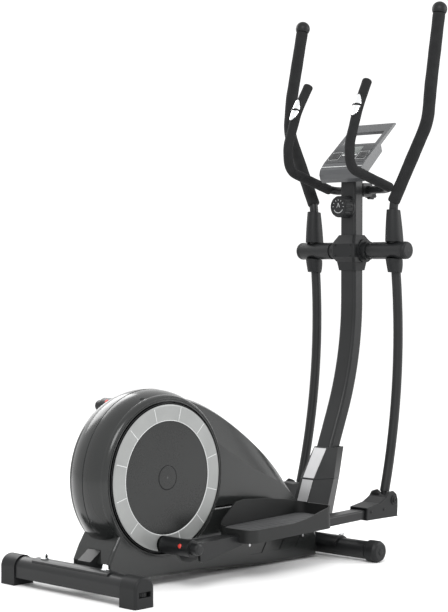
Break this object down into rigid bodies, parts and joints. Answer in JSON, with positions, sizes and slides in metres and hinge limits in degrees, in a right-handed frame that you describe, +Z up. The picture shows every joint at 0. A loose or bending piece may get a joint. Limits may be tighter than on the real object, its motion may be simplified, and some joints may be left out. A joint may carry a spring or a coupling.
{
  "type": "elliptical trainer",
  "caption": "Rear-drive elliptical trainer with enclosed crank housing, swinging arm handles, foot trays on pedal arms, curved mast, fixed pulse bar and a tilted console.",
  "frame": {"origin": "on the floor under the middle of the machine's overall length and width", "axes": "+X forward from the user towards the console, +Y to the user's left, +Z up"},
  "size_m": [1.2822, 0.6078, 1.653],
  "materials": {
    "bearing_steel": "ground",
    "belt_rubber": "ribbed belt",
    "button_rubber": "soft touch",
    "chrome": "polished",
    "console_plastic": "satin mid grey",
    "cover_plastic": "satin grey with silver panel",
    "disc_plastic": "glossy moulded dark grey",
    "display_lens": "tinted lens",
    "flywheel_iron": "machined",
    "frame_paint": "satin powder coat",
    "grip_foam": "closed cell foam",
    "housing_plastic": "glossy moulded graphite",
    "magnet": "plated",
    "panel_plastic": "printed panel",
    "pedal_plastic": "moulded black with ribbed tread",
    "ring_silver": "satin silver finish",
    "steel": "turned",
    "trim_plastic": "fine moulded texture"
  },
  "bodies": {
    "frame": {"main_frame": "frame_paint", "rear_stabilizer": "frame_paint", "rear_end_caps": "trim_plastic", "front_stabilizer": "frame_paint", "frame_bolts": "chrome", "mast": "frame_paint", "mast_cover_lower": "cover_plastic", "mast_cover_upper": "cover_plastic", "pivot_axle": "frame_paint", "pivot_end_caps": "trim_plastic", "pivot_cover_rear": "trim_plastic", "pivot_cover_front": "trim_plastic", "housing_left": "housing_plastic", "housing_right": "housing_plastic", "housing_screws": "steel", "crank_bearings": "bearing_steel", "flywheel_axle": "steel", "idler_arm": "frame_paint", "drive_belt": "belt_rubber", "pulse_handlebar": "frame_paint", "pulse_grips": "grip_foam", "pulse_sensors": "chrome", "handlebar_clamp": "frame_paint", "console_body": "console_plastic", "console_face": "panel_plastic", "console_display": "display_lens", "knob_base": "trim_plastic"},
    "crank": {"crank_axle": "steel", "crank_pulley": "trim_plastic", "crank_arms": "frame_paint", "crank_discs": "disc_plastic", "disc_rings": "ring_silver", "disc_caps": "disc_plastic"},
    "flywheel": {"flywheel": "flywheel_iron", "flywheel_pulley": "trim_plastic"},
    "idler": {"idler_wheel": "trim_plastic"},
    "brake": {"brake_bracket": "frame_paint", "brake_magnets": "magnet"},
    "swing_right": {"swing_arm_right": "frame_paint", "hub_cover_right": "trim_plastic", "handle_grip_right": "grip_foam", "grip_ball_right": "trim_plastic"},
    "swing_left": {"swing_arm_left": "frame_paint", "hub_cover_left": "trim_plastic", "handle_grip_left": "grip_foam", "grip_ball_left": "trim_plastic"},
    "pedal_right": {"pedal_arm_right": "frame_paint", "pedal_right": "pedal_plastic", "joint_cover_right": "trim_plastic"},
    "pedal_left": {"pedal_arm_left": "frame_paint", "pedal_left": "pedal_plastic", "joint_cover_left": "trim_plastic"},
    "roller_right": {"transport_roller_right": "trim_plastic"},
    "roller_left": {"transport_roller_left": "trim_plastic"},
    "leveller_right": {"rear_leveller_right": "trim_plastic"},
    "leveller_left": {"rear_leveller_left": "trim_plastic"},
    "tension_knob": {"tension_knob": "trim_plastic"},
    "clamp_knob": {"clamp_knob": "trim_plastic"},
    "button_right": {"button_right": "button_rubber"},
    "button_left": {"button_left": "button_rubber"}
  },
  "joints": [
    {"name": "crank_spin", "type": "hinge", "parent": "frame", "child": "crank", "pos_m": [-0.3451, 0, 0.29], "axis": [0, 1, 0], "continuous": true},
    {"name": "flywheel_spin", "type": "hinge", "parent": "frame", "child": "flywheel", "pos_m": [-0.0201, 0, 0.228], "axis": [0, 1, 0], "continuous": true},
    {"name": "idler_spin", "type": "hinge", "parent": "frame", "child": "idler", "pos_m": [-0.1561, 0, 0.17059], "axis": [0, 1, 0], "continuous": true},
    {"name": "swing_right_pivot", "type": "hinge", "parent": "frame", "child": "swing_right", "pos_m": [0.5299, 0, 0.9085], "axis": [0, 1, 0], "range_deg": [-11.4, 12.9]},
    {"name": "swing_left_pivot", "type": "hinge", "parent": "frame", "child": "swing_left", "pos_m": [0.5299, 0, 0.9085], "axis": [0, 1, 0], "range_deg": [-12.9, 11.4]},
    {"name": "pedal_right_hinge", "type": "hinge", "parent": "swing_right", "child": "pedal_right", "pos_m": [0.4826, 0, 0.15999], "axis": [0, 1, 0], "range_deg": [-12.5, 11.1]},
    {"name": "pedal_left_hinge", "type": "hinge", "parent": "swing_left", "child": "pedal_left", "pos_m": [0.46284, 0, 0.1615], "axis": [0, 1, 0], "range_deg": [-11.3, 12.8]},
    {"name": "brake_swing", "type": "hinge", "parent": "frame", "child": "brake", "pos_m": [0.0979, 0, 0.126], "axis": [0, 1, 0], "range_deg": [0, 8]},
    {"name": "roller_right_spin", "type": "hinge", "parent": "frame", "child": "roller_right", "pos_m": [0.3219, 0, 0.0315], "axis": [0, 1, 0], "continuous": true},
    {"name": "roller_left_spin", "type": "hinge", "parent": "frame", "child": "roller_left", "pos_m": [0.3219, 0, 0.0315], "axis": [0, 1, 0], "continuous": true},
    {"name": "leveller_right_turn", "type": "hinge", "parent": "frame", "child": "leveller_right", "pos_m": [-0.6081, -0.25, 0.035], "axis": [0, 0, 1], "range_deg": [-360, 360]},
    {"name": "leveller_left_turn", "type": "hinge", "parent": "frame", "child": "leveller_left", "pos_m": [-0.6081, 0.25, 0.035], "axis": [0, 0, 1], "range_deg": [-360, 360]},
    {"name": "tension_turn", "type": "hinge", "parent": "frame", "child": "tension_knob", "pos_m": [0.4919, 0, 1.043], "axis": [1, 0, 0], "range_deg": [0, 270]},
    {"name": "clamp_turn", "type": "hinge", "parent": "frame", "child": "clamp_knob", "pos_m": [0.6019, -0.01, 1.084], "axis": [1, 0, 0], "range_deg": [-180, 180]},
    {"name": "button_right_press", "type": "slide", "parent": "frame", "child": "button_right", "axis": [0.6547, 0, -0.7559], "range_m": [0, 0.0015], "stiffness_N_per_m": 300},
    {"name": "button_left_press", "type": "slide", "parent": "frame", "child": "button_left", "axis": [0.6547, 0, -0.7559], "range_m": [0, 0.0015], "stiffness_N_per_m": 300}
  ],
  "couplings": [
    {"joint": "flywheel_spin", "follows": "crank_spin", "ratio": 4.48},
    {"joint": "idler_spin", "follows": "crank_spin", "ratio": -6.2222},
    {"joint": "swing_left_pivot", "follows": "swing_right_pivot", "ratio": -1},
    {"joint": "pedal_right_hinge", "follows": "swing_right_pivot", "ratio": -0.966},
    {"joint": "pedal_left_hinge", "follows": "swing_right_pivot", "ratio": 0.989},
    {"joint": "brake_swing", "follows": "tension_turn", "ratio": 0.02963}
  ]
}
